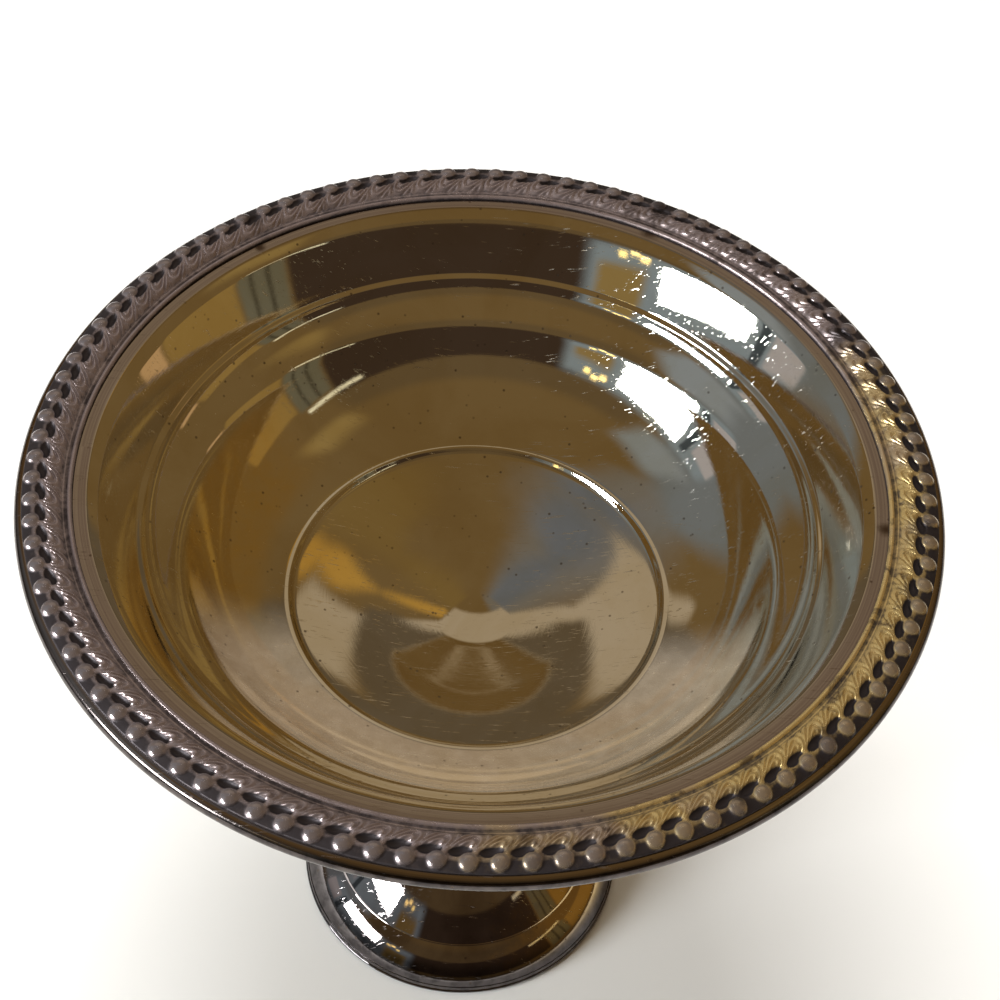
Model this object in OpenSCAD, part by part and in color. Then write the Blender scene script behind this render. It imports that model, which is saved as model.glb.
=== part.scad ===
/* [Bowl] */
// Diameter over the curled edge
rim_d = 152.4; // [130:0.2:180]
// Height of the flat brim above the table
brim_h = 124.5; // [105:0.5:145]
// Thickness of the spun sheet
sheet = 0.9; // [0.7:0.1:1.2]
// Diameter of the curled edge, seen in section
curl_d = 3; // [2.6:0.1:3.6]
// Width of the brim from the curled edge to the turn down into the bowl
brim_w = 12.5; // [11.2:0.1:14]
// Radius of that turn
mouth_round = 1.6; // [1:0.1:2.2]
// Distance of the ridge inside the mouth
ridge_in = 5.7; // [4.5:0.1:7]
// Depth of the ridge below the brim
ridge_drop = 10.3; // [8:0.1:12]
// Distance of the step inside the ridge
step_in = 8.1; // [6.5:0.1:10]
// Depth of the step below the ridge
step_drop = 8.1; // [6.5:0.1:9.5]
// Distance of the ring around the well inside the step
well_in = 16.5; // [14:0.1:19]
// Depth of the ring below the step
well_drop = 13.2; // [11.5:0.1:15]
// Width of the small riser inside the ring
riser_w = 0.8; // [0.6:0.1:1.2]
// Depth of that riser
riser_drop = 1.1; // [0.7:0.1:1.5]
// Depth of the outer part of the well below the riser
knee_drop = 4.9; // [4:0.1:5.6]
// Depth of the middle part of the well below the outer part
hollow_drop = 2.4; // [1.8:0.1:3]
// Depth of the centre of the well below the middle part
centre_drop = 1.6; // [1.2:0.1:2]

/* [Gadroon border] */
// Number of lobes around the border
lobes = 102; // [80:1:110]
// Width of the border from its bead to its outer edge
border_w = 8.1; // [7:0.1:8.6]
// Height of the lobes above the brim
border_rise = 2.3; // [1.8:0.1:2.8]
// Width of the plain bead along the inner edge
bead_w = 1; // [0.8:0.1:1.3]
// Height of that bead above the brim
bead_rise = 0.9; // [0.6:0.1:1.2]
// Width of the groove between the bead and the lobes
groove_w = 0.7; // [0.5:0.1:0.9]
// Height left under the groove
groove_rise = 0.35; // [0.25:0.05:0.5]
// How far the inner end of a lobe swings round, in lobes
lobe_swing = 1.6; // [0.8:0.1:1.8]

/* [Stem] */
// Diameter of the narrowest part of the stem
waist_d = 15; // [13:0.5:18]
// Distance of the narrowest part below the top of the stem
waist_drop = 14; // [11:0.5:17]
// Diameter of the stem at its top
stem_top_d = 19; // [17:0.5:21]
// Diameter of the turned collar on top of the stem
collar_d = 25; // [23:0.5:28]
// Height of the collar
collar_h = 6; // [5:0.2:7]
// Distance from the collar up to the lowest point under the bowl
cup_h = 10; // [9:0.2:12]
// Diameter of the cup at its narrow end
cup_neck_d = 19; // [17:0.5:21]
// Diameter of the cup where it meets the bowl
cup_d = 37; // [32:0.5:42]

/* [Foot] */
// Diameter of the foot
foot_d = 65.6; // [62:0.2:72]
// Height of the flattened lip around the foot
lip_h = 1.4; // [1.1:0.1:1.8]
// Width of the ledge that the lip leaves around the foot
lip_ledge = 0.7; // [0.5:0.1:1]
// Diameter of the step around the foot
foot_step_d = 53; // [50:0.5:55]
// Height of that step above the table
foot_step_h = 8.4; // [7:0.1:10]
// Height of the step itself
foot_step_rise = 0.8; // [0.5:0.1:1.2]
// Diameter at which the dome of the foot turns up into the stem
dome_d = 33; // [29:0.5:36]
// Height of that turn above the table
dome_h = 18; // [16:0.5:20]
// How far the felt stands below the lip
felt_proud = 0.4; // [0.2:0.1:0.6]

/* [Inside] */
// Diameter of the wire in the curled edge
wire_d = 1.9; // [1.6:0.1:2]
// Diameter of the tie rod
rod_d = 5; // [4:0.5:6]
// Diameter of the boss that takes the rod under the bowl
boss_d = 12; // [11:0.5:14]
// Depth of the thread in the boss
thread_depth = 7; // [6:0.5:8]
// Height of the nut
nut_h = 4; // [3.2:0.2:5]
// Width of the nut across its flats
nut_w = 8; // [7.5:0.5:9]
// Diameter of the washer
washer_d = 15; // [13:0.5:16]
// Thickness of the washer
washer_t = 1; // [0.8:0.1:1.6]
// Diameter of the pocket around the nut
pocket_d = 18; // [17:0.5:20]
// Length of rod left below the nut
rod_end = 1; // [0.5:0.1:1.5]
// Thickness of the board that closes the foot
board_t = 0.8; // [0.6:0.1:1.2]
// Thickness of the felt
felt_t = 1; // [0.8:0.1:1.4]

/* [Hidden] */

// Clearances: a soldered or filled seam, a loose round fit, a rod in its hole
seam = 0.1;
loose = 0.3;
thread_fit = 0.05;
overrun = 1;

// Slope of the wall in degrees below level, going inwards, at both ends of each band
wall_slopes = [66, 50];
step_slopes = [60, 28];
well_slopes = [48, 27];
knee_slopes = [16, 19.5];
hollow_slopes = [19.5, 10];
centre_slopes = [10, 0];
// Slopes of the foot and the stem in degrees above level, going inwards
band_slopes = [88, 22];
dome_slopes = [62, 34];
sweep_slopes = [34, 90];
neck_slopes = [90, 112];
cup_slopes = [90, 128];

// Points along each band, and around the curl, the mouth and the collar
band_points = 8;
centre_points = 6;
sweep_points = 14;
curl_points = 20;
mouth_points = 6;
bead_points = 12;
round_fn = 96;

rim_r = rim_d / 2;
curl_r = curl_d / 2;
curl_centre = [rim_r - curl_r, brim_h - curl_r];
mouth_r = rim_r - brim_w;
ridge_pt = [mouth_r - ridge_in, brim_h - ridge_drop];
step_pt = ridge_pt - [step_in, step_drop];
well_pt = step_pt - [well_in, well_drop];

// Inside the ring the well falls in a riser and three shallow bands, placed by shares of its radius
knee_share = 0.52;
hollow_share = 0.245;
riser_pt = well_pt - [riser_w, riser_drop];
knee_pt = [riser_pt.x * knee_share, riser_pt.y - knee_drop];
hollow_pt = [riser_pt.x * hollow_share, knee_pt.y - hollow_drop];
dish_pt = [0, hollow_pt.y - centre_drop];

// A point on a smooth curve from p to q that leaves p in direction u and reaches q in direction v
function curve_point(p, q, u, v, t) =
    let (chord = norm(q - p))
    (2 * t ^ 3 - 3 * t ^ 2 + 1) * p + (t ^ 3 - 2 * t ^ 2 + t) * chord * u
    + (3 * t ^ 2 - 2 * t ^ 3) * q + (t ^ 3 - t ^ 2) * chord * v;

// The whole curve, with its first point left out so that bands can be joined end to end
function band(p, q, u, v, n) = [for (i = [1:n]) curve_point(p, q, u, v, i / n)];
function down(a) = [-cos(a), -sin(a)];
function up(a) = [-cos(a), sin(a)];

// Every point of an outline moved sideways by d, to the left of the way that the outline runs
function moved(pts, d) = [for (i = [0:len(pts) - 1])
    let (a = pts[max(i - 1, 0)], b = pts[min(i + 1, len(pts) - 1)], way = (b - a) / norm(b - a))
    pts[i] + d * [-way.y, way.x]];
function reversed(pts) = [for (i = [len(pts) - 1:-1:0]) pts[i]];

// Inner face of the bowl, from the brim to the middle of the well
mouth_centre = [mouth_r, brim_h - mouth_round];
mouth_pts = [for (i = [0:mouth_points])
    mouth_centre + mouth_round * [-sin(wall_slopes[0] * i / mouth_points), cos(wall_slopes[0] * i / mouth_points)]];
wall_top = mouth_pts[mouth_points];
dish_face = concat(
    mouth_pts,
    band(wall_top, ridge_pt, down(wall_slopes[0]), down(wall_slopes[1]), band_points),
    band(ridge_pt, step_pt, down(step_slopes[0]), down(step_slopes[1]), band_points),
    band(step_pt, well_pt, down(well_slopes[0]), down(well_slopes[1]), band_points),
    [riser_pt],
    band(riser_pt, knee_pt, down(knee_slopes[0]), down(knee_slopes[1]), band_points),
    band(knee_pt, hollow_pt, down(hollow_slopes[0]), down(hollow_slopes[1]), centre_points),
    band(hollow_pt, dish_pt, down(centre_slopes[0]), down(centre_slopes[1]), centre_points));

// Under face of the bowl: the inner face moved outwards by the sheet, ending on the axis
under_moved = moved(dish_face, sheet);
under_face = concat([for (i = [0:len(under_moved) - 2]) under_moved[i]], [dish_pt - [0, sheet]]);

// The curled edge starts level with the brim and ends where it meets the sheet from below
curl_end = 180 - asin((curl_r - sheet) / curl_r);
curl_pts = [for (i = [0:curl_points])
    let (a = 90 - (450 - curl_end) * i / curl_points)
    curl_centre + curl_r * [cos(a), sin(a)]];

// Room above the under face of the bowl, from which what is soldered there is cut back
function above_bowl(gap) = concat(
    [for (p = under_face) p - [0, gap]],
    [[0, brim_h], [mouth_r, brim_h]]);

// Outer face of the foot and the stem, from the lip upwards
foot_r = foot_d / 2;
lip_top = felt_proud + lip_h;
ledge_pt = [foot_r - lip_ledge, lip_top];
foot_step_pt = [foot_step_d / 2, foot_step_h];
foot_ledge_pt = foot_step_pt + [-foot_step_rise / 2, foot_step_rise];
dome_pt = [dome_d / 2, dome_h];
cup_z = dish_pt.y - sheet - cup_h;
stem_top_h = cup_z - collar_h;
waist_h = stem_top_h - waist_drop;
waist_pt = [waist_d / 2, waist_h];
stem_top_pt = [stem_top_d / 2, stem_top_h];
lip_r = lip_h / 2;
lip_pts = [for (i = [0:mouth_points])
    let (a = -90 + 180 * i / mouth_points)
    [foot_r - lip_r + lip_r * cos(a), felt_proud + lip_r + lip_r * sin(a)]];
foot_face = concat(
    lip_pts,
    [ledge_pt],
    band(ledge_pt, foot_step_pt, up(band_slopes[0]), up(band_slopes[1]), band_points),
    [foot_ledge_pt],
    band(foot_ledge_pt, dome_pt, up(dome_slopes[0]), up(dome_slopes[1]), band_points));
stem_foot_pts = band(dome_pt, waist_pt, up(sweep_slopes[0]), up(sweep_slopes[1]), sweep_points);
stem_face = concat(
    [dome_pt],
    stem_foot_pts,
    band(waist_pt, stem_top_pt, up(neck_slopes[0]), up(neck_slopes[1]), band_points));

// Inner faces: the outer ones moved in by the sheet, with level ends
shell_bottom = felt_proud + seam;
foot_inner = [for (p = moved(foot_face, sheet)) if (p.y > lip_top) p];
stem_inner_moved = moved(stem_face, sheet);
stem_inner = [for (i = [0:len(stem_face) - 1]) i == len(stem_face) - 1
    ? [stem_top_pt.x - sheet, stem_top_h] : stem_inner_moved[i]];
foot_hole_r = foot_inner[0].x;

// Levels in the foot, from the table up
board_z = felt_t;
weight_z = board_z + board_t;
nut_z = weight_z + loose + rod_end;
washer_z = nut_z + nut_h;
pocket_z = washer_z + washer_t;

// A point on the under face of the bowl at radius r
function under_height(r, i = 0) =
    (under_face[i].x >= r && under_face[i + 1].x <= r)
    ? lookup(r, [[under_face[i + 1].x, under_face[i + 1].y], [under_face[i].x, under_face[i].y]])
    : under_height(r, i + 1);
cup_rim = [cup_d / 2, under_height(cup_d / 2)];
cup_face = concat(
    [[cup_neck_d / 2, cup_z]],
    band([cup_neck_d / 2, cup_z], cup_rim, up(cup_slopes[0]), up(cup_slopes[1]), band_points));
boss_top = under_height(boss_d / 2);
boss_z = dish_pt.y - sheet - thread_depth - sheet;
rod_z = nut_z - rod_end;
rod_top = boss_z + thread_depth;

// Gadroon border: where its rows lie across the border, and how high they are on a lobe's line,
// which carries a ball and then a hollow, and on the ridge between two lobes
outer_r = curl_centre.x + seam;
lobe_w = border_w - bead_w - groove_w;
row_shares = [1, 0.9, 0.72, 0.5, 0.3, 0.12, 0];
crest_shares = [0.42, 0.8, 1, 0.5, 0.52, 0.44, 0.26];
valley_shares = [0.42, 0.44, 0.55, 0.68, 0.62, 0.44, 0.24];
// A lobe is sampled on its line, on both flanks and on the ridge after it
flank_shares = [1, 0.72, 0, 0.72];
swing_power = 1.3;

// Shape of the feature above at one row and one place round the lobe
function lobe_rise_at(row, k) =
    border_rise * (valley_shares[row] + (crest_shares[row] - valley_shares[row]) * flank_shares[k]);
function swing_at(share) = lobe_swing * 360 / lobes * (1 - share) ^ swing_power;
function ring_point(r, a, z) = [r * cos(a), r * sin(a), brim_h + z];

// One section of the border at column c, as a closed loop of points
function border_section(c) =
    let (samples = len(flank_shares), turn = 360 * c / (lobes * samples), k = c % samples,
        groove_r = outer_r - lobe_w, inner_a = turn + swing_at(0))
    concat(
        [ring_point(outer_r, turn, 0)],
        [for (row = [0:len(row_shares) - 1])
            ring_point(groove_r + lobe_w * row_shares[row], turn + swing_at(row_shares[row]), lobe_rise_at(row, k))],
        [ring_point(groove_r - groove_w / 2, inner_a, groove_rise),
        ring_point(groove_r - groove_w, inner_a, bead_rise * 2 / 3),
        ring_point(groove_r - groove_w - bead_w / 2, inner_a, bead_rise),
        ring_point(groove_r - groove_w - bead_w, inner_a, 0)]);

// Spun bowl: flared dish, flat brim and a curled edge that holds the wire
module bowl() {
    color("#b09a70")
    difference() {
        rotate_extrude($fn = round_fn)
        polygon(concat([[0, dish_pt.y]], reversed([for (i = [0:len(dish_face) - 2]) dish_face[i]]),
            curl_pts, under_face));
        rotate_extrude($fn = round_fn)
        translate(curl_centre)
        circle(d = wire_d + 2 * thread_fit, $fn = round_fn);
    }
}

// Wire that stiffens the curled edge
module edge_wire() {
    color("#8f8678")
    rotate_extrude($fn = round_fn)
    translate(curl_centre)
    circle(d = wire_d, $fn = round_fn);
}

// Applied border: swirled lobes, a groove and a plain bead, in one struck ring
module gadroon_border() {
    columns = lobes * len(flank_shares);
    rows = len(border_section(0));
    points = [for (c = [0:columns - 1]) each border_section(c)];
    faces = [for (c = [0:columns - 1], i = [0:rows - 1])
        let (d = (c + 1) % columns, j = (i + 1) % rows)
        each [[c * rows + i, d * rows + j, c * rows + j], [c * rows + i, d * rows + i, d * rows + j]]];
    color("#6f625f")
    polyhedron(points, faces);
}

// Threaded boss soldered under the middle of the bowl
module bowl_boss() {
    color("#b5a642")
    difference() {
        translate([0, 0, boss_z])
        cylinder(h = boss_top - boss_z + overrun, d = boss_d, $fn = round_fn);
        rotate_extrude($fn = round_fn)
        polygon(above_bowl(seam));
        translate([0, 0, boss_z - overrun])
        cylinder(h = thread_depth + overrun, d = rod_d + 2 * thread_fit, $fn = round_fn);
    }
}

// Flared cup that carries the bowl on the collar
module bowl_cup() {
    inner = moved(cup_face, sheet);
    color("#8f806a")
    difference() {
        rotate_extrude($fn = round_fn)
        polygon(concat(cup_face, [cup_rim + [0, overrun], cup_rim + [-sheet, overrun]],
            reversed([for (i = [1:len(inner) - 2]) inner[i]]), [[cup_neck_d / 2 - sheet, cup_z]]));
        rotate_extrude($fn = round_fn)
        polygon(above_bowl(seam));
    }
}

// Turned collar with a round bead, between the stem and the cup
module collar() {
    bead_c = [collar_d / 2 - collar_h / 3, stem_top_h + collar_h / 2];
    flange_r = max(stem_top_d, cup_neck_d) / 2 + sheet;
    color("#8f806a")
    rotate_extrude($fn = round_fn)
    polygon(concat(
        [[rod_d / 2 + loose, stem_top_h], [flange_r, stem_top_h]],
        [for (i = [0:bead_points]) let (a = -80 + 160 * i / bead_points)
            bead_c + collar_h / 3 * [cos(a), sin(a)]],
        [[flange_r, cup_z], [rod_d / 2 + loose, cup_z]]));
}

// Hollow baluster stem
module stem() {
    color("#8f806a")
    rotate_extrude($fn = round_fn)
    polygon(concat(stem_face, reversed(stem_inner)));
}

// Domed, stepped foot shell
module foot() {
    color("#85776a")
    rotate_extrude($fn = round_fn)
    polygon(concat(foot_face, reversed(foot_inner), [[foot_hole_r, felt_proud]]));
}

// Filling that weights the foot and the stem
module foot_weight() {
    stem_fill = moved(stem_inner, seam);
    foot_fill = moved(foot_inner, seam);
    color("#9c9a92")
    difference() {
        rotate_extrude($fn = round_fn)
        polygon(concat([[0, weight_z], [foot_fill[0].x, weight_z]], foot_fill,
            [for (p = stem_fill) if (p.y < waist_h && p.y > dome_h) p], [[waist_d / 2 - sheet - seam, waist_h],
            [0, waist_h]]));
        cylinder(h = waist_h + overrun, d = rod_d + 2 * loose, $fn = round_fn);
        cylinder(h = pocket_z, d = pocket_d, $fn = round_fn);
    }
}

// Steel rod that pulls the stem and foot up to the bowl
module tie_rod() {
    color("#a8acae")
    translate([0, 0, rod_z])
    cylinder(h = rod_top - rod_z, d = rod_d, $fn = round_fn);
}

module washer() {
    color("#a8acae")
    translate([0, 0, washer_z])
    difference() {
        cylinder(h = washer_t, d = washer_d, $fn = round_fn);
        translate([0, 0, -overrun])
        cylinder(h = washer_t + 2 * overrun, d = rod_d + 2 * thread_fit, $fn = round_fn);
    }
}

module nut() {
    color("#a8acae")
    translate([0, 0, nut_z])
    difference() {
        cylinder(h = nut_h, d = nut_w / cos(30), $fn = 6);
        translate([0, 0, -overrun])
        cylinder(h = nut_h + 2 * overrun, d = rod_d + 2 * thread_fit, $fn = round_fn);
    }
}

// Board that closes the foot
module base_board() {
    color("#a98f6a")
    translate([0, 0, board_z])
    cylinder(h = board_t, r = foot_hole_r - seam, $fn = round_fn);
}

// Felt that the compote stands on
module felt_pad() {
    color("#3c5a44")
    cylinder(h = felt_t, r = foot_hole_r - loose, $fn = round_fn);
}

bowl();
edge_wire();
gadroon_border();
bowl_boss();
bowl_cup();
collar();
stem();
foot();
foot_weight();
tie_rod();
washer();
nut();
base_board();
felt_pad();
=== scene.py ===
import math
import bpy
import numpy as np
from mathutils import Matrix, Vector


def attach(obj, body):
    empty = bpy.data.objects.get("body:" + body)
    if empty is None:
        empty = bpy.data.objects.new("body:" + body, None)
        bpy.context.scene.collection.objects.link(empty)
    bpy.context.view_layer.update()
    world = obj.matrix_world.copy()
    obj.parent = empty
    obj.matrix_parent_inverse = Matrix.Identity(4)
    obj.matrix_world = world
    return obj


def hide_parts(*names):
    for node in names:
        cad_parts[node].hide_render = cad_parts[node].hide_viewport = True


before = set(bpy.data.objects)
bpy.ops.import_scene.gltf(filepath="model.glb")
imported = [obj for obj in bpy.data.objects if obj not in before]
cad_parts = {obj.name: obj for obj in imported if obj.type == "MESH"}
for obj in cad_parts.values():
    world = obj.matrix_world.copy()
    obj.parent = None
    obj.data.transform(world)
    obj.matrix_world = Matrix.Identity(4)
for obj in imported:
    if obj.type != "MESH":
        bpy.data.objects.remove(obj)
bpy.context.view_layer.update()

mm = 0.001


# A cubic from p to q that leaves p along u and reaches q along v, both scaled by the chord
def curvePoint(p, q, u, v, t):
    p, q, u, v = (np.asarray(a, float) for a in (p, q, u, v))
    chord = np.linalg.norm(q - p)
    t = np.asarray(t)[:, None]
    return ((2 * t**3 - 3 * t**2 + 1) * p + (t**3 - 2 * t**2 + t) * chord * u
            + (3 * t**2 - 2 * t**3) * q + (t**3 - t**2) * chord * v)


# A direction on the profile, going inwards and up by a slope in degrees
def inwardUp(slope):
    return np.array([-math.cos(math.radians(slope)), math.sin(math.radians(slope))])


# A band from p to q whose slope runs through a table of degrees by shares of its length. The
# step (-cos slope, -sin slope) is summed along it, and the whole is turned and scaled to end on q.
def slopedBand(p, q, shares, slopes, count=80):
    t = np.linspace(0, 1, count)
    slope = np.radians(np.interp(t, shares, slopes))
    step = -np.stack([np.cos(slope), np.sin(slope)], 1)
    path = np.concatenate([[[0, 0]], np.cumsum((step[1:] + step[:-1]) / 2, axis=0)])
    wanted = np.asarray(q, float) - np.asarray(p, float)
    scale = complex(*wanted) / complex(*path[-1])
    turned = (path[:, 0] + 1j * path[:, 1]) * scale
    return np.asarray(p, float) + np.stack([turned.real, turned.imag], 1)


# An arc: centre plus radius times (cos, sin) of an angle that runs from start to end, in degrees
def arcPoints(centre, radius, start, end, count):
    turn = np.radians(np.linspace(start, end, count))
    return np.asarray(centre) + radius * np.stack([np.cos(turn), np.sin(turn)], 1)


# Bands laid end to end, each without the first point that it shares with the one before
def joinBands(*bands):
    rest = [np.asarray(b, float)[1:] for b in bands[1:]]
    return np.concatenate([np.asarray(bands[0], float)] + rest)


# An outline resampled along its length, rounded by a Gaussian blur, and thinned so that
# points crowd where the outline turns: spacing = 1 / (1 + crowding * turn per millimetre)
def softenProfile(points, blur, count, crowding=6.0, step=0.04):
    points = np.asarray(points, float)
    length = np.concatenate([[0], np.cumsum(np.linalg.norm(np.diff(points, axis=0), axis=1))])
    keep = np.concatenate([[True], np.diff(length) > 1e-9])
    points, length = points[keep], length[keep]
    fine = np.linspace(0, length[-1], int(length[-1] / step) + 2)
    line = np.stack([np.interp(fine, length, points[:, k]) for k in (0, 1)], 1)
    reach = int(3 * blur / step)
    if reach > 0:
        kernel = np.exp(-0.5 * (np.arange(-reach, reach + 1) * step / blur) ** 2)
        kernel /= kernel.sum()
        first, last = line[:1], line[-1:]
        padded = np.concatenate([2 * first - line[reach:0:-1], line, 2 * last - line[-2:-reach - 2:-1]])
        line = np.stack([np.convolve(padded[:, k], kernel, "valid") for k in (0, 1)], 1)
    way = np.gradient(line, axis=0)
    heading = np.unwrap(np.arctan2(way[:, 1], way[:, 0]))
    bend = np.abs(np.gradient(heading)) / step
    weight = 1 + crowding * np.minimum(bend, 2)
    travel = np.concatenate([[0], np.cumsum((weight[1:] + weight[:-1]) / 2)])
    at = np.interp(np.linspace(0, travel[-1], count), travel, np.arange(len(travel)))
    return np.stack([np.interp(at, np.arange(len(line)), line[:, k]) for k in (0, 1)], 1)


# The outline moved sideways by a distance, to the left of the way that it runs
def besideProfile(points, distance):
    way = np.gradient(points, axis=0)
    way /= np.linalg.norm(way, axis=1)[:, None]
    return points + distance * np.stack([-way[:, 1], way[:, 0]], 1)


def makeMesh(name, verts, faces, material, attributes=None):
    mesh = bpy.data.meshes.new(name)
    mesh.from_pydata(verts * mm, [], faces)
    mesh.polygons.foreach_set("use_smooth", [True] * len(mesh.polygons))
    for key, values in (attributes or {}).items():
        layer = mesh.attributes.new(key, "FLOAT", "POINT")
        layer.data.foreach_set("value", np.asarray(values, dtype=np.float32).ravel())
    mesh.materials.append(material)
    mesh.validate()
    mesh.update()
    piece = bpy.data.objects.new(name, mesh)
    bpy.context.scene.collection.objects.link(piece)
    return piece


# Quads of a grid whose rows close on themselves round the axis; rows run outward-facing
def gridFaces(rows, columns, closed=False):
    a, c = np.meshgrid(np.arange(rows if closed else rows - 1), np.arange(columns), indexing="ij")
    b, d = (a + 1) % rows, (c + 1) % columns
    quad = np.stack([a * columns + c, a * columns + d, b * columns + d, b * columns + c], -1)
    return quad.reshape(-1, 4).tolist()


# A surface of revolution: every profile point (r, z) carried round the axis as
# (r cos a, r sin a, z). A profile end on the axis becomes one point with a fan.
# The profile runs so that its left side is inside the metal.
def spinProfile(name, profile, turns, material, wobble=None, closed=False):
    angle = np.arange(turns) * 2 * math.pi / turns
    startPole = (not closed) and profile[0, 0] < 1e-6
    endPole = (not closed) and profile[-1, 0] < 1e-6
    ring = profile[1 if startPole else 0: len(profile) - 1 if endPole else len(profile)]
    radius, height = ring[:, 0][:, None], ring[:, 1][:, None]
    turn = np.broadcast_to(angle[None, :], (len(ring), turns))
    lift = wobble(radius, height, turn) if wobble else 0
    grid = np.stack([radius * np.cos(turn), radius * np.sin(turn), height + lift + 0 * turn], -1)
    grid = grid.reshape(-1, 3)
    verts = [grid]
    faces = gridFaces(len(ring), turns, closed)
    following = (np.arange(turns) + 1) % turns
    if startPole:
        pole = len(grid)
        verts.append(np.array([[0, 0, profile[0, 1]]]))
        faces += [[pole, int(n), int(k)] for k, n in zip(np.arange(turns), following)]
    if endPole:
        pole = sum(len(v) for v in verts)
        verts.append(np.array([[0, 0, profile[-1, 1]]]))
        base = (len(ring) - 1) * turns
        faces += [[pole, base + int(k), base + int(n)] for k, n in zip(np.arange(turns), following)]
    return makeMesh(name, np.concatenate(verts), faces, material)


# A socket that takes part in Python sums: an expression on wires adds its Math nodes
class Wire:
    def __init__(self, tree, socket=None):
        self.tree = tree
        self.socket = socket

    # Any node: its type, its settings, which are set first, and its sockets' values or links
    def add(self, kind, settings=None, inputs=None, out=0):
        node = self.tree.nodes.new(kind)
        for key, value in (settings or {}).items():
            setattr(node, key, value)
        for key, value in (inputs or {}).items():
            if isinstance(value, Wire):
                self.tree.links.new(value.socket, node.inputs[key])
            else:
                node.inputs[key].default_value = value
        return Wire(self.tree, node.outputs[out] if node.outputs else None)

    def math(self, operation, *values):
        return self.add("ShaderNodeMath", {"operation": operation}, dict(enumerate((self,) + values)))

    def __add__(self, other): return self.math("ADD", other)
    __radd__ = __add__
    def __mul__(self, other): return self.math("MULTIPLY", other)
    __rmul__ = __mul__
    def __sub__(self, other): return self.math("SUBTRACT", other)
    def __rsub__(self, other): return (self * -1.0) + other
    def __truediv__(self, other): return self.math("DIVIDE", other)
    def __pow__(self, other): return self.math("POWER", other)

    # 0 below low, 1 above high, smooth between
    def rise(self, low, high):
        return self.add("ShaderNodeMapRange", {"interpolation_type": "SMOOTHSTEP"},
                        {"Value": self, "From Min": low, "From Max": high})

    # From one number to another as this wire goes from 0 to 1
    def between(self, low, high):
        return self * (high - low) + low

    def mix(self, first, second):
        paint = [c if isinstance(c, Wire) else (*c, 1) for c in (first, second)]
        return self.add("ShaderNodeMix", {"data_type": "RGBA", "clamp_factor": True},
                        {0: self, 6: paint[0], 7: paint[1]}, out=2)

    def noise(self, vector, scale, detail=4.0, roughness=0.5, distortion=0.0):
        return self.add("ShaderNodeTexNoise", {}, {"Vector": vector, "Scale": scale, "Detail": detail,
                        "Roughness": roughness, "Distortion": distortion})


def startMaterial(name):
    material = bpy.data.materials.new(name)
    material.use_nodes = True
    material.node_tree.nodes.clear()
    return material, Wire(material.node_tree)


# Joins the finished wires to the shader; plain numbers are set on the shader's own sockets
def finishMaterial(wire, inputs):
    shader = wire.add("ShaderNodeBsdfPrincipled", {}, inputs)
    wire.add("ShaderNodeOutputMaterial", {}, {"Surface": shader})


# Object coordinates in millimetres
def millimetres(wire):
    spot = wire.add("ShaderNodeTexCoord", out=3)
    return wire.add("ShaderNodeVectorMath", {"operation": "SCALE"}, {0: spot, "Scale": 1 / mm})


# The x, y and z of a vector
def partsOf(spot):
    node = spot.add("ShaderNodeSeparateXYZ", {}, {0: spot}).socket.node
    return [Wire(spot.tree, node.outputs[k]) for k in range(3)]


def vector(wire, x, y, z):
    return wire.add("ShaderNodeCombineXYZ", {}, {0: x, 1: y, 2: z})


# Fine scratches in one direction: noise on a strip turned by an angle and stretched along it,
# kept where it passes a high threshold
def scratches(wire, spot, angle, fineness, seed, sharp=0.66):
    strip = wire.add("ShaderNodeMapping", {}, {"Vector": spot, "Location": (seed, -seed, seed * 0.3),
                     "Rotation": (0, 0, math.radians(angle)), "Scale": (0.035, 1.0, 0.3)})
    grain = wire.noise(strip, fineness, 2.0, 0.6)
    return grain.rise(sharp, sharp + 0.05)


# A ragged round stain, 1 inside and 0 outside: the distance to its middle plus noise, as a
# share of its size
def stainSpot(wire, spot, x, y, place, scale, reach):
    sx, sy, size = place
    ragged = wire.noise(spot, scale, 5.0, 0.7) * size * 0.9
    away = ((x - sx) ** 2.0 + (y - sy) ** 2.0) ** 0.5 + ragged
    return 1 - away.rise(size * 0.5, size * reach)


# Colours, noise scales per millimetre, and how much each mark adds to the roughness and relief
silverFinish = {
    "clean": (0.89, 0.85, 0.77), "warm": (0.80, 0.73, 0.59), "brim": (0.31, 0.25, 0.24),
    # edge is painted shade: a near-black tint that turns the curl's reflection of the floor dark
    "edge": (0.035, 0.031, 0.032), "nearWarmth": (0.92, 0.72, 0.46), "paintedGold": (1.0, 0.74, 0.24),
    # amber is a painted golden reflection on one side
    "paintedAmber": (0.72, 0.50, 0.20), "stain": (0.13, 0.09, 0.065),
    "cloudScale": 0.045, "mottleScale": 0.35, "spunScale": 2.2, "streakScale": 1.6,
    "nickScale": 1.15, "pitScale": 0.42, "stainScale": 0.3, "stainReach": 1.25,
    "roughness": 0.018, "hazeRoughness": 0.07, "stainRoughness": 0.25, "lineRoughness": 0.34,
    "spunRelief": 0.35, "mottleRelief": 0.1, "lineRelief": 0.9, "stainRelief": 0.5,
    "bump": 0.18, "bumpDepth": 0.00005,
}


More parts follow.
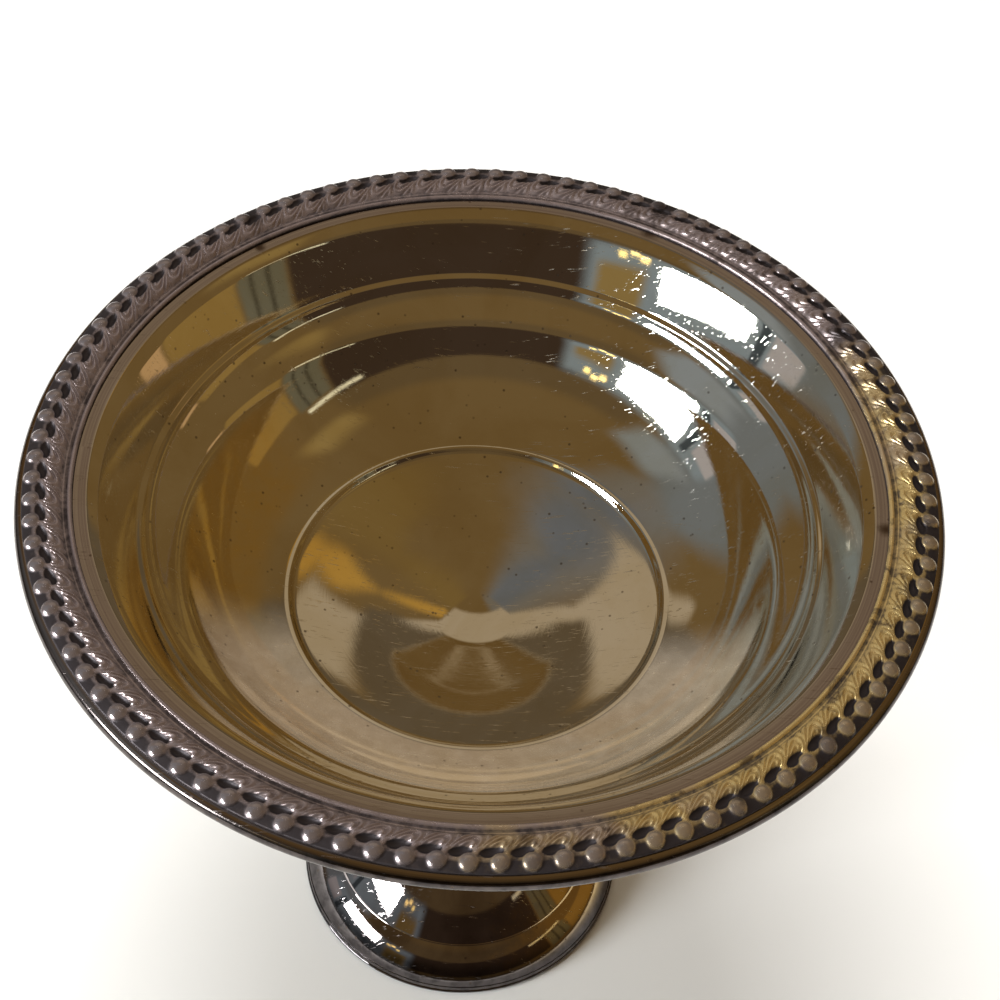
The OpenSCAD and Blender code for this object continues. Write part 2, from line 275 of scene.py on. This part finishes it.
# Worn silver plate: warm clouds, a purple-brown brim, spun rings, scratches, nicks and stains
def makeSilver(name, finish, brimFrom=None, edgeShadeFrom=None, dullRing=None, paintedGoldFrom=None,
               paintedAmberFrom=None, stains=()):
    material, wire = startMaterial(name)
    spot = millimetres(wire)
    x, y, z = partsOf(spot)
    radius, turn = (x * x + y * y) ** 0.5, y.math("ARCTAN2", x)
    clouds = wire.noise(spot, finish["cloudScale"], 5.0, 0.6, 0.6).rise(0.36, 0.68)
    mottle = wire.noise(spot, finish["mottleScale"], 6.0, 0.65).rise(0.35, 0.75)
    ringSpot = vector(wire, radius, z, turn * 0.25)
    spun = wire.noise(ringSpot, finish["spunScale"], 5.0, 0.75)
    lines = (scratches(wire, spot, 24, 2.6, 11.0) + scratches(wire, spot, -57, 2.2, 37.0)
             + scratches(wire, spot, 81, 3.1, 71.0)) * mottle
    nicks = (wire.noise(spot, finish["nickScale"], 3.0, 0.75, 1.4).rise(0.70, 0.735)
             * wire.noise(spot, 0.10, 2.0).rise(0.46, 0.60))
    pits = wire.add("ShaderNodeTexVoronoi", {"feature": "F1"},
                    {"Vector": spot, "Scale": finish["pitScale"]})
    pits = (1 - pits.rise(0.05, 0.15)) * wire.noise(spot, 0.12, 2.0).rise(0.40, 0.56)
    colour = clouds.mix(finish["clean"], finish["warm"])
    haze = clouds * 0.4 + mottle * 0.3
    metallic = 1.0
    # Duller, warmer and less metallic on the near side of the well
    if dullRing:
        inner, outer = dullRing
        ring = radius.rise(inner - 0.3, inner + 0.5) * (1 - radius.rise(outer - 0.8, outer))
        nearWarmth = ring * (y / radius).rise(-0.15, -0.5)
        haze = haze + nearWarmth * 1.2
        colour = (nearWarmth * 0.5).mix(colour, finish["nearWarmth"])
        metallic = 1 - nearWarmth * mottle.between(0.20, 0.26)
    if brimFrom:
        brim = radius.rise(*brimFrom)
        streak = wire.noise(ringSpot, finish["streakScale"], 5.0, 0.7).rise(0.35, 0.65)
        colour = (brim * streak.between(0.72, 1.0)).mix(colour, finish["brim"])
        haze = haze + brim * 2.2
    # Painted shade: a near-black tint on the outer edge stands in for dark reflections and hides the
    # floor's reflection there
    if edgeShadeFrom:
        edge = radius.rise(*edgeShadeFrom)
        colour = (edge * mottle.between(0.75, 1.0)).mix(colour, finish["edge"])
    # Painted golden reflection: amber on the foot's right side stands in for golden light reflected
    # there
    if paintedAmberFrom:
        paintedAmber = (x + mottle * 6.0).rise(*paintedAmberFrom) * (1 - radius.rise(29.0, 32.0))
        colour = (paintedAmber * 0.7).mix(colour, finish["paintedAmber"])
    # Painted golden reflection: a gold tint on the left side of the well stands in for golden light
    # reflected there
    if paintedGoldFrom:
        paintedGold = ((x / radius * -1.0).rise(*paintedGoldFrom) * radius.rise(35.5, 40.0)
                * (1 - radius.rise(49.4, 50.4)) * (y / radius).rise(-0.5, -0.1))
        colour = (paintedGold * mottle.between(0.5, 0.75)).mix(colour, finish["paintedGold"])
    stain = pits * 0.7 + nicks * 0.75
    for place in stains:
        stain = stain + stainSpot(wire, spot, x, y, place, finish["stainScale"], finish["stainReach"])
    colour = stain.math("MINIMUM", 1.0).mix(colour, finish["stain"])
    roughness = (haze.between(finish["roughness"], finish["hazeRoughness"])
                 + stain * finish["stainRoughness"] + lines * finish["lineRoughness"])
    relief = (spun * finish["spunRelief"] + mottle * finish["mottleRelief"]
              - lines * finish["lineRelief"] - stain * finish["stainRelief"])
    bump = wire.add("ShaderNodeBump", {}, {"Strength": finish["bump"],
                    "Distance": finish["bumpDepth"], "Height": relief})
    finishMaterial(wire, {"Base Color": colour, "Metallic": metallic,
                          "Roughness": roughness, "Normal": bump})
    return material


borderFinish = {
    "crest": (0.33, 0.265, 0.26), "paintedAmber": (0.62, 0.45, 0.19), "ball": (0.30, 0.27, 0.28),
    "recess": (0.05, 0.042, 0.045), "blotch": (0.075, 0.05, 0.04),
    "stains": ((29.5, 66.0, 4.2), (61.0, 36.0, 4.4), (71.5, -7.5, 3.4), (-45.0, 56.0, 3.2),
               (40.0, -60.0, 3.0)),
    "stainScale": 0.4, "stainReach": 1.3, "roughness": 0.15,
    "metallic": (0.74, 0.80),  # on the lobes and on their balls
    "bump": 0.3, "bumpDepth": 0.00006,
}


# Border: worn bright on its crests, nearly black in its recesses from black tarnish and painted shade,
# amber towards one side as a painted golden reflection
def makeBorderSilver(name, finish):
    material, wire = startMaterial(name)
    spot = millimetres(wire)
    x, y, _ = partsOf(spot)
    depth = wire.add("ShaderNodeAttribute", {"attribute_name": "depth"}, out=2)
    polish = wire.add("ShaderNodeAttribute", {"attribute_name": "polish"}, out=2)
    mottle = wire.noise(spot, 0.5, 6.0, 0.7).rise(0.34, 0.72)
    clouds = wire.noise(spot, 0.07, 4.0, 0.6).rise(0.4, 0.62)
    # Painted golden reflection: amber towards the right and near side
    side = (x * 0.8 - y * 0.45 + clouds * 16.0).rise(34.0, 70.0)
    colour = side.mix(finish["crest"], finish["paintedAmber"])
    blotch = (wire.noise(spot, 0.16, 6.0, 0.72, 0.8).rise(0.52, 0.64)
              * (x + 20.0).rise(-50.0, 60.0).between(0.3, 1.0))
    colour = (blotch * 0.75).mix(colour, finish["blotch"])
    colour = (polish * 0.6).mix(colour, finish["ball"])
    # Tarnish and painted shade: darker where the border lies low, in its hollows, groove and outer
    # strip, plus real stains
    tarnishAndShade = (depth + mottle * 0.25 - 0.12).rise(0.22, 0.72)
    for place in finish["stains"]:
        mark = stainSpot(wire, spot, x, y, place, finish["stainScale"], finish["stainReach"])
        tarnishAndShade = tarnishAndShade + mark * 0.9
    tarnishAndShade = tarnishAndShade.math("MINIMUM", 1.0)
    colour = tarnishAndShade.mix(colour, finish["recess"])
    roughness = ((mottle * 0.14 + tarnishAndShade * 0.18 + blotch * 0.15 + 0.10) * (1 - polish * 0.85)
                 + finish["roughness"])
    grain = wire.noise(spot, 2.5, 4.0, 0.6)
    bump = wire.add("ShaderNodeBump", {}, {"Strength": finish["bump"],
                    "Distance": finish["bumpDepth"], "Height": grain + mottle * 0.6})
    metallic = polish.between(*finish["metallic"])
    finishMaterial(wire, {"Base Color": colour, "Metallic": metallic,
                          "Roughness": roughness, "Normal": bump})
    return material


# Plain metals and stuffs inside and under the foot: two colours, a grain and its relief
def makeStuff(name, first, second, scale, roughness, metallic, relief):
    material, wire = startMaterial(name)
    spot = millimetres(wire)
    broad = wire.noise(spot, scale, 6.0, 0.65).rise(0.32, 0.68)
    fine = wire.noise(spot, scale * 7, 4.0, 0.6)
    colour = (broad * 0.7 + fine * 0.3).mix(first, second)
    rough = broad.between(*roughness)
    bump = wire.add("ShaderNodeBump", {}, {"Strength": 0.5, "Distance": relief,
                    "Height": fine + broad * 0.5})
    finishMaterial(wire, {"Base Color": colour, "Metallic": metallic, "Roughness": rough,
                          "Normal": bump})
    return material


footFinish = {
    **silverFinish, "clean": (0.46, 0.42, 0.42), "warm": (0.27, 0.225, 0.21),
    # Painted shade: the foot's outer band near black, standing in for dark reflections
    "edge": (0.06, 0.054, 0.056),
}
bowlSilver = makeSilver("bowlSilver", silverFinish, brimFrom=(64.3, 64.9), edgeShadeFrom=(75.2, 75.9),
                        dullRing=(33.8, 49.8), paintedGoldFrom=(0.70, 0.95),
                        stains=((28.0, 60.5, 3.0), (62.0, 34.0, 3.4), (66.0, -7.0, 2.4),
                                (-43.0, 50.0, 2.0)))
footSilver = makeSilver("footSilver", footFinish, edgeShadeFrom=(28.6, 30.6), paintedAmberFrom=(8.0, 24.0))
borderSilver = makeBorderSilver("borderSilver", borderFinish)
print("materials made")


bowlShape = {
    "rimRadius": 76.2, "brimHeight": 124.5, "sheet": 0.9, "curlRadius": 1.5,
    "mouthRadius": 64.8, "mouthRound": 0.6, "mouthTurn": 38, "crease": 0.20,
    "turns": 360, "topPoints": 184, "underPoints": 50, "curlPoints": 26,
    # Bands from the mouth inwards: where each ends, and its slopes in degrees by share of length
    "bands": [
        ((62.9, 123.1), (0, 1), (38, 44)),
        ((57.6, 114.3), (0, 0.5, 1), (54, 58, 63)),
        ((56.8, 113.95), (0, 1), (20, 28)),
        ((49.9, 106.1), (0, 0.1, 0.22, 0.45, 0.7, 0.86, 1), (70, 60, 50, 38, 43, 54, 60)),
        ((33.7, 92.9), (0, 0.15, 0.33, 0.55, 0.8, 1), (60, 57, 51, 38, 28, 26)),
        ((33.2, 92.95), (0, 1), (-4, -8)),
        ((32.3, 91.8), (0, 1), (56, 48)),
        ((16.95, 86.9), (0, 0.2, 0.5, 1), (18, 15.5, 17, 19.5)),
        ((6.0, 83.45), (0, 1), (19.5, 16)),
        ((0.0, 82.75), (0, 0.5, 1), (15, 7, 0)),
    ],
}


# Inner face from the middle of the well out to the brim and round the curl, then the under face
def bowlProfile(s):
    brim, mouth = s["brimHeight"], s["mouthRadius"]
    mouthArc = arcPoints((mouth, brim - s["mouthRound"]), s["mouthRound"],
                         90, 90 + s["mouthTurn"], 24)
    bands = [mouthArc]
    for end, shares, slopes in s["bands"]:
        bands.append(slopedBand(bands[-1][-1], end, shares, slopes))
    inner = joinBands(*bands)
    centre = (s["rimRadius"] - s["curlRadius"], brim - s["curlRadius"])
    curlEnd = -180 - math.degrees(math.asin((s["curlRadius"] - s["sheet"]) / s["curlRadius"]))
    curl = arcPoints(centre, s["curlRadius"], 90, curlEnd, s["curlPoints"])
    brimFlat = np.stack([np.linspace(curl[0, 0], inner[0, 0], 20), np.full(20, brim)], 1)
    face = joinBands(brimFlat, inner)
    top = softenProfile(face, s["crease"], s["topPoints"])
    top[-1, 0] = 0
    under = softenProfile(besideProfile(face, s["sheet"]), s["crease"], s["underPoints"])
    under[-1, 0] = 0
    clear = under[under[:, 0] < centre[0] - s["curlRadius"] - 0.05]
    return np.concatenate([top[::-1], curl[1:-1], clear])


# The small unevenness of spun sheet: sums of slow waves round and across, microns high
def sheetWobble(radius, height, turn):
    across = radius / 9.0
    waves = (np.sin(3 * turn + 0.7 * across) + 0.8 * np.sin(5 * turn - 1.3 * across + 1.0)
             + 0.5 * np.sin(8 * turn + 2.1 * across + 2.2))
    return 0.004 * waves * np.clip(radius / 20.0, 0, 1)


bowlPiece = spinProfile("bowlShell", bowlProfile(bowlShape), bowlShape["turns"], bowlSilver,
                        wobble=sheetWobble)
print("bowl made")


# Sizes in millimetres, places as shares of the band, leans as shares of the way across
borderShape = {
    "lobes": 102, "outerRadius": 74.8, "grooveRadius": 68.4, "groove": 0.7, "bead": 1.0,
    "rise": 2.3, "beadRise": 0.75, "grooveRise": 0.30, "swing": 1.6, "swingPower": 1.45,
    "samples": 21, "rows": 34, "crownLow": 0.40, "crownHigh": 0.95,
    "ballAt": 0.76, "ball": 1.50, "ballTop": 0.58, "ballLift": 0.30, "ballFoot": 0.70, "ballLag": 0.22,
    "hollowAt": 0.52, "hollowLong": 1.70, "hollowWide": 0.82, "hollowDepth": 0.66, "lean": 0.62,
    "arch": 1.12, "ridgeGap": 0.60, "ridgeRise": 0.62, "ridgeLean": 1.15, "ridgeRound": 0.62,
    "ridgePower": 0.8, "ridgeClear": 0.35, "strokeBend": 0.12,
}


# The border's crowned ground at a share across it: low + high * sin(pi (0.06 + 0.84 share))^1.1
def crown(s, share):
    bow = np.sin(np.pi * np.clip(0.06 + 0.84 * share, 0, 1)) ** 1.1
    return s["crownLow"] + s["crownHigh"] * bow


# Height above the brim at a share across the band (0 at the groove, 1 at the outer edge) and a
# place along it counted in lobes, and the ball's round part. Each lobe has an oval hollow that
# leans along the band, where away = sqrt((x / long)^2 + (y / wide)^2) is below 1. Round it lie
# arched ridges, |sin(pi r / gap)|^0.8 of the leaning distance r, and beside it, near the outer
# edge, a low ball, sqrt(1 - (x^2 + y^2) / ball^2).
def lobeHeight(s, share, lobe, pitch):
    width = s["outerRadius"] - s["grooveRadius"]
    ground = crown(s, share)
    y = (s["hollowAt"] - share) * width
    phase = np.mod(lobe, 1.0) - 0.5
    away = np.full(share.shape, 9.0)
    rings = np.full(share.shape, 9.0)
    for neighbour in (-2, -1, 0, 1, 2):
        x = (phase + neighbour) * pitch - s["lean"] * y
        away = np.minimum(away, np.sqrt((x / s["hollowLong"]) ** 2 + (y / s["hollowWide"]) ** 2))
        stroke = x - (s["ridgeLean"] - s["lean"]) * y + s["strokeBend"] * np.clip(y, 0, 9) ** 2
        rings = np.minimum(rings, np.sqrt(stroke ** 2 + (s["ridgeRound"] * y) ** 2) / s["arch"])
    fade = np.clip((share - 0.02) / 0.08, 0, 1) * np.clip((0.74 - share) / 0.14, 0, 1)
    ridge = np.abs(np.sin(np.pi * rings / s["ridgeGap"])) ** s["ridgePower"]
    ridge = ridge * np.clip(0.75 + y, 0.15, 1) * np.clip((away - 1) / s["ridgeClear"], 0, 1)
    height = ground - 0.12 + s["ridgeRise"] * fade * ridge
    sink = np.sqrt(np.clip(1 - away ** 2, 0, 1))
    height = np.where(away < 1, ground - 0.02 - s["hollowDepth"] * sink, height)
    x = (np.mod(lobe + 0.5 + s["ballLag"], 1.0) - 0.5) * pitch
    ballRound = 1 - (x / s["ball"]) ** 2 - ((share - s["ballAt"]) * width / s["ball"]) ** 2
    ball = ground * s["ballFoot"] + (s["ballTop"] + s["ballLift"]) * np.sqrt(np.clip(ballRound, 0, 1))
    return np.where(ballRound > 0, np.maximum(height, ball), height), ballRound


def makeBorder(s, material):
    columns = s["lobes"] * s["samples"]
    pitchAngle = 2 * math.pi / s["lobes"]
    shares = np.linspace(1, 0, s["rows"]) ** 0.92
    turn = np.arange(columns) * 2 * math.pi / columns
    share, base = np.meshgrid(shares, turn, indexing="ij")
    angle = base + s["swing"] * pitchAngle * (1 - share) ** s["swingPower"]
    radius = s["grooveRadius"] + (s["outerRadius"] - s["grooveRadius"]) * share
    height, ballRound = lobeHeight(s, share, angle / pitchAngle, radius * pitchAngle)
    height = np.minimum(height, s["rise"])
    # Black tarnish and painted shade: the further a point lies below the crown, the darker its colour
    deep = np.clip(0.34 - (height - crown(s, share)) * 1.7, 0, 1)
    polish = np.clip(ballRound * 2, 0, 1)
    # Darker on the plain strip outside the balls
    deep = np.maximum(deep, np.clip((share - 0.62) / 0.2, 0, 0.75) * (1 - polish))
    # Groove and bead along the inner edge, and the flat underside that lies on the brim
    inner = s["grooveRadius"]
    beadCentre = inner - s["groove"] - s["bead"] / 2
    bead = arcPoints((beadCentre, 0.0), 1.0, 15, 165, 6) - (beadCentre, 0.0)
    edge = [(inner - 0.15, 0.5), (inner - 0.35, s["grooveRise"]), (inner - s["groove"], 0.34)]
    edge += [(beadCentre + b[0] * s["bead"] / 2, b[1] * s["beadRise"]) for b in bead]
    edge += [(beadCentre - s["bead"] / 2, 0.0), (s["outerRadius"], 0.0)]
    edge = np.array(edge)
    innerAngle = turn + s["swing"] * pitchAngle
    edgeRadius = np.repeat(edge[:, 0][:, None], columns, 1)
    edgeHeight = np.repeat(edge[:, 1][:, None], columns, 1)
    edgeAngle = np.repeat(innerAngle[None, :], len(edge), 0)
    edgeAngle[-1] = turn
    # Black tarnish and painted shade: the groove and underside rows darker the lower they lie
    edgeDeep = np.clip(0.85 - edgeHeight, 0.1, 1)
    radius, angle = np.concatenate([radius, edgeRadius]), np.concatenate([angle, edgeAngle])
    height, deep = np.concatenate([height, edgeHeight]), np.concatenate([deep, edgeDeep])
    polish = np.concatenate([polish, 0 * edgeDeep])
    verts = np.stack([radius * np.cos(angle), radius * np.sin(angle),
                      bowlShape["brimHeight"] + height], -1).reshape(-1, 3)
    faces = gridFaces(radius.shape[0], columns, closed=True)
    return makeMesh("borderLobes", verts, faces, material, {"depth": deep, "polish": polish})


borderPiece = makeBorder(borderShape, borderSilver)
print("border made")


standShape = {
    "waist": (7.5, 52.0), "stemTop": (9.5, 66.0), "collarRadius": 12.5, "collarHeight": 6.0,
    "cupNeck": 9.5, "cupRadius": 18.5, "footRadius": 32.8, "lipHeight": 0.8, "ledge": 0.25,
    "step": (26.3, 8.5), "stepRise": 0.22, "dome": (16.5, 18.0), "feltProud": 0.4,
    "bandSlopes": (68, 33), "domeSlopes": (50, 35), "sweepSlopes": (34, 90),
    "neckSlopes": (90, 112), "cupSlopes": (90, 128), "turns": 240,
    "collarBore": 3.0, "seat": 0.02, "flangeHeight": 0.5, "cupGap": 0.06,
}


# The foot's face: half-round lip, ledge, convex band, small riser and dome, from the table up
def footFace(s):
    t = np.linspace(0, 1, 50)
    bandStart, bandEnd = (inwardUp(slope) for slope in s["bandSlopes"])
    domeStart, domeEnd = (inwardUp(slope) for slope in s["domeSlopes"])
    lip = s["lipHeight"] / 2
    lipArc = arcPoints((s["footRadius"] - lip, s["feltProud"] + lip), lip, -90, 90, 24)
    ledge = np.array([s["footRadius"] - s["ledge"], s["feltProud"] + s["lipHeight"]])
    step, dome = np.array(s["step"]), np.array(s["dome"])
    riser = step + (-s["stepRise"] / 2, s["stepRise"])
    return joinBands(lipArc, [lipArc[-1], ledge],
                     curvePoint(ledge, step, bandStart, bandEnd, t), [step, riser],
                     curvePoint(riser, dome, domeStart, domeEnd, t))


# The stem's face: a hollow sweep up to the waist and a slight flare to its top
def stemFace(s):
    t = np.linspace(0, 1, 60)
    sweepStart, sweepEnd = (inwardUp(slope) for slope in s["sweepSlopes"])
    neckStart, neckEnd = (inwardUp(slope) for slope in s["neckSlopes"])
    return joinBands(curvePoint(s["dome"], s["waist"], sweepStart, sweepEnd, t),
                     curvePoint(s["waist"], s["stemTop"], neckStart, neckEnd, t))


# A thin shell: its outer face, then its inner face back again, as one closed outline
def shellOutline(face, sheet, blur, count, lowest=None):
    outer = softenProfile(face, blur, count)
    inner = softenProfile(besideProfile(face, sheet), blur, count // 3)
    if lowest is not None:
        inner = inner[inner[:, 1] > lowest]
    return np.concatenate([outer, inner[::-1]])


def makeStand(s, material):
    sheet = bowlShape["sheet"]
    foot = shellOutline(footFace(s), sheet, 0.12, 150, s["feltProud"] + s["lipHeight"])
    stem = shellOutline(stemFace(s), sheet, 0.05, 90)
    # Collar: a flange, a round bead and a flange
    low, high = s["stemTop"][1], s["stemTop"][1] + s["collarHeight"]
    lowFace, highFace = low + s["seat"], high - s["seat"]
    flange = max(s["stemTop"][0], s["cupNeck"]) + sheet
    beadRadius = s["collarHeight"] / 3
    beadCentre = (s["collarRadius"] - beadRadius, (low + high) / 2)
    collarFace = joinBands([(s["collarBore"], lowFace), (flange, lowFace)],
                           [(flange, lowFace), (flange, low + s["flangeHeight"])],
                           arcPoints(beadCentre, beadRadius, -80, 80, 30),
                           [(flange, high - s["flangeHeight"]), (flange, highFace)],
                           [(flange, highFace), (s["collarBore"], highFace)])
    collar = softenProfile(collarFace, 0.12, 90)
    # Cup: from the collar out to the bowl's under face
    under = bowlProfile(bowlShape)
    under = under[np.argmax(under[:, 0]):]
    order = np.argsort(under[:, 0])
    rim = np.interp(s["cupRadius"], under[order, 0], under[order, 1])
    t = np.linspace(0, 1, 60)
    cupStart, cupEnd = (inwardUp(slope) for slope in s["cupSlopes"])
    cupFace = curvePoint((s["cupNeck"], high), (s["cupRadius"], rim - s["cupGap"]),
                         cupStart, cupEnd, t)
    cup = shellOutline(cupFace, sheet, 0.05, 90)
    made = []
    for name, outline, node in (("footShell", foot, "foot"), ("stemShell", stem, "stem"),
                                ("collarRing", collar, "collar"), ("cupShell", cup, "bowl_cup")):
        piece = spinProfile(name, outline, s["turns"], material, closed=True)
        made.append((piece, node))
    return made


standPieces = makeStand(standShape, footSilver)
print("stand made")


feltShape = {"radius": 31.1, "thickness": 1.0, "edge": 0.25, "turns": 180, "nap": 0.03}
feltStuff = makeStuff("greenFelt", (0.035, 0.085, 0.05), (0.06, 0.13, 0.075),
                      0.5, (0.85, 1.0), 0.0, 0.0002)


# A faint nap on the underside: nap * |sin(1.7 radius + 3 turn)|
def feltNap(radius, height, turn):
    return np.where(height < 0.3, feltShape["nap"] * np.abs(np.sin(radius * 1.7 + 3 * turn)), 0)


# Felt disc: a flat underside, a rounded edge and a top
def makeFelt(s, material):
    r, h, e = s["radius"], s["thickness"], s["edge"]
    outline = joinBands(np.stack([np.linspace(0, r - e, 40), np.zeros(40)], 1),
                        arcPoints((r - e, e), e, -90, 0, 6), arcPoints((r - e, h - e), e, 0, 90, 6),
                        np.stack([np.linspace(r - e, 0, 12), np.full(12, h)], 1))
    return spinProfile("feltDisc", outline, s["turns"], material, wobble=feltNap)


feltPiece = makeFelt(feltShape, feltStuff)

# Inner nodes keep their CAD shapes and take procedural finishes: name, two colours, scale,
# roughness range, metallic and relief
innerTable = {
    "edge_wire": ("innerWire", (0.35, 0.32, 0.28), (0.5, 0.46, 0.4), 0.8, (0.3, 0.45), 1.0, 0.00003),
    "bowl_boss": ("turnedBrass", (0.55, 0.42, 0.16), (0.68, 0.54, 0.24), 0.6, (0.25, 0.4), 1.0,
                  0.00003),
    "foot_weight": ("castPlaster", (0.55, 0.53, 0.48), (0.68, 0.66, 0.6), 0.3, (0.8, 0.95), 0.0,
                    0.0003),
    "tie_rod": ("rodSteel", (0.42, 0.43, 0.44), (0.55, 0.56, 0.57), 0.9, (0.28, 0.42), 1.0, 0.00003),
    "base_board": ("greyBoard", (0.34, 0.29, 0.22), (0.45, 0.39, 0.3), 0.4, (0.85, 0.95), 0.0,
                   0.0002),
}
innerStuffs = {nodeName: makeStuff(*row) for nodeName, row in innerTable.items()}
innerStuffs["washer"] = innerStuffs["nut"] = innerStuffs["tie_rod"]
for nodeName, stuff in innerStuffs.items():
    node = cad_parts[nodeName]
    for slotIndex in range(len(node.data.materials)):
        node.data.materials[slotIndex] = stuff
print("inner nodes finished")

# Which body each piece rides on, which node it replaces, and its slot
riders = [(bowlPiece, "bowl", "polished_silver"),
          (borderPiece, "gadroon_border", "tarnished_silver"), (feltPiece, "felt_pad", "felt")]
riders += [(piece, node, "foot_silver") for piece, node in standPieces]
for piece, node, slotName in riders:
    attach(piece, "root")
    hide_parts(node)

floorLook = {"half": 0.62, "colour": (0.86, 0.86, 0.85)}


def makeFloor(look):
    material, wire = startMaterial("paleFloor")
    spot = millimetres(wire)
    faint = wire.noise(spot, 0.02, 3.0)
    first = look["colour"]
    colour = faint.mix(first, tuple(c * 0.97 for c in first))
    finishMaterial(wire, {"Base Color": colour, "Roughness": 0.9, "Specular IOR Level": 0.1})
    h = look["half"] / mm
    corners = np.array([(-h, -h, 0), (h, -h, 0), (h, h, 0), (-h, h, 0)], float)
    return makeMesh("floorSheet", corners, [[0, 1, 2, 3]], material)


makeFloor(floorLook)


# A direction from an azimuth (0 towards the camera, 90 to the right) and an elevation
def heading(azimuth, elevation):
    a, e = math.radians(azimuth), math.radians(elevation)
    return Vector((math.sin(a) * math.cos(e), -math.cos(a) * math.cos(e), math.sin(e)))


# Room colours: (azimuth, elevation, half width, half height, edge, colour), laid over each
# other as panels with soft edges, all in degrees
roomLook = {
    "base": (0.148, 0.092, 0.034),
    "panels": [
        (0, -24, 180, 24, 4, (0.10, 0.09, 0.075)),
        (232, 62, 30, 16, 8, (0.160, 0.140, 0.115)),
        (185, 46, 36, 15, 2, (0.36, 0.285, 0.19)),
        (134, 66, 15, 10, 6, (0.17, 0.105, 0.032)),
        (142.5, 49, 4.5, 5, 2.5, (0.38, 0.21, 0.04)),
        (234, 66, 11, 9, 6, (0.125, 0.130, 0.140)),
        (0, 30, 62, 14, 6, (0.115, 0.075, 0.033)),
        (14, 17, 46, 11, 1, (0.042, 0.026, 0.016)),
        (68, 14, 7, 9, 1, (0.125, 0.110, 0.070)),
        (66, 14, 0.7, 9, 0.3, (0.060, 0.050, 0.030)),
        (71, 14, 0.6, 9, 0.3, (0.060, 0.050, 0.030)),
        (88, 12, 12, 9, 1, (0.25, 0.155, 0.045)),
        (105, 8, 4, 5, 0.8, (0.45, 0.28, 0.13)),
        (61, 25.5, 12, 0.9, 0.5, (0.85, 0.78, 0.55)),
        (80, 50, 14, 6, 5, (0.25, 0.165, 0.055)),
        (262, 28, 24, 24, 6, (0.150, 0.158, 0.158)),
        (280, 43, 14, 11, 5, (0.225, 0.242, 0.248)),
        (300, 14, 34, 13, 3, (0.20, 0.232, 0.246)),
        (324, 12, 7, 8, 2, (0.24, 0.16, 0.055)),
        (271, 12, 5.5, 7, 0.8, (0.36, 0.33, 0.32)),
        (279.5, 13, 1.6, 10, 0.5, (0.050, 0.060, 0.065)),
        (318, 23.5, 1.3, 1.0, 0.5, (3.0, 2.2, 0.8)),
        (321, 25, 1.3, 1.0, 0.5, (3.0, 2.2, 0.8)),
        (324.5, 23.5, 1.1, 0.9, 0.5, (2.4, 1.8, 0.6)),
    ],
    # A dark lower wall: azimuth, top, how the top rises with the square of the turn, half
    # width and colour
    "lowerWall": (180, 27.5, 0.010, 35, (0.105, 0.076, 0.044)),
    "strength": 1.0,
}


# Degrees round from an azimuth, 0 to 180: arccos(cos(azimuth - from))
def turnAway(azimuth, start):
    return ((azimuth - start) * math.radians(1)).math("COSINE").math("ARCCOSINE") * math.degrees(1)


# A panel's colour shows where both the turn and the tilt away from its middle are small
def makeRoom(look):
    world = bpy.data.worlds.new("room")
    bpy.context.scene.world = world
    world.use_nodes = True
    world.node_tree.nodes.clear()
    wire = Wire(world.node_tree)
    x, y, z = partsOf(wire.add("ShaderNodeTexCoord", out=0))
    azimuth = x.math("ARCTAN2", y * -1.0) * math.degrees(1)
    elevation = z.math("ARCSINE") * math.degrees(1)
    colour = None
    for (az, el, wide, high, edge, paint) in look["panels"]:
        turn = turnAway(azimuth, az)
        tilt = (elevation - el).math("ABSOLUTE")
        panel = ((1 - turn.rise(wide - edge, wide + edge))
                 * (1 - tilt.rise(high - edge, high + edge)))
        colour = panel.mix(colour if colour else look["base"], paint)
    az, top, bend, wide, paint = look["lowerWall"]
    turn = turnAway(azimuth, az)
    wall = ((1 - (elevation - turn * turn * bend).rise(top - 0.5, top + 0.5))
            * (1 - turn.rise(wide - 2, wide + 2)))
    colour = (wall * elevation.rise(-1, 1)).mix(colour, paint)
    shader = wire.add("ShaderNodeBackground", {}, {"Color": colour, "Strength": look["strength"]})
    wire.add("ShaderNodeOutputWorld", {}, {"Surface": shader})


makeRoom(roomLook)

# Lamps: azimuth, elevation, distance, width, height, power, colour, and whether metal shows them
lampLook = {
    "windowLamp": (297, 17.8, 1.6, 0.78, 0.34, 36.0, (0.94, 0.98, 1.0), True),
    "topLamp": (200, 74, 1.8, 1.1, 0.9, 34.0, (1.0, 0.99, 0.97), False),
}


def makeLamps(look):
    for name, (az, el, far, width, height, power, colour, shown) in look.items():
        light = bpy.data.lights.new(name, "AREA")
        light.shape = "RECTANGLE"
        light.size, light.size_y = width, height
        light.energy, light.color = power, colour
        lamp = bpy.data.objects.new(name, light)
        bpy.context.scene.collection.objects.link(lamp)
        lamp.location = heading(az, el) * far + Vector((0, 0, 0.1))
        lamp.rotation_euler = heading(az, el).to_track_quat("Z", "Y").to_euler()
        lamp.visible_glossy = shown


makeLamps(lampLook)

cameraLook = {
    "place": (0.0, -211.6, 370.5), "lens": 70.88, "sensor": 36.0,
    "right": (0.99800683, 0.04217536, 0.04694255),
    "up": (-0.06246544, 0.76594087, 0.63986924),
    "forward": (0.0089685, 0.64152616, -0.76704872),
}


def makeCamera(look):
    data = bpy.data.cameras.new("photoCamera")
    data.sensor_width, data.lens = look["sensor"], look["lens"]
    data.clip_start, data.clip_end = 0.01, 20
    camera = bpy.data.objects.new("photoCamera", data)
    bpy.context.scene.collection.objects.link(camera)
    turned = Matrix((look["right"], look["up"], [-c for c in look["forward"]])).transposed().to_4x4()
    turned.translation = Vector(look["place"]) * mm
    camera.matrix_world = turned
    bpy.context.scene.camera = camera


makeCamera(cameraLook)
bpy.context.scene.view_settings.view_transform = "Standard"
print("stage, lamps and camera made")
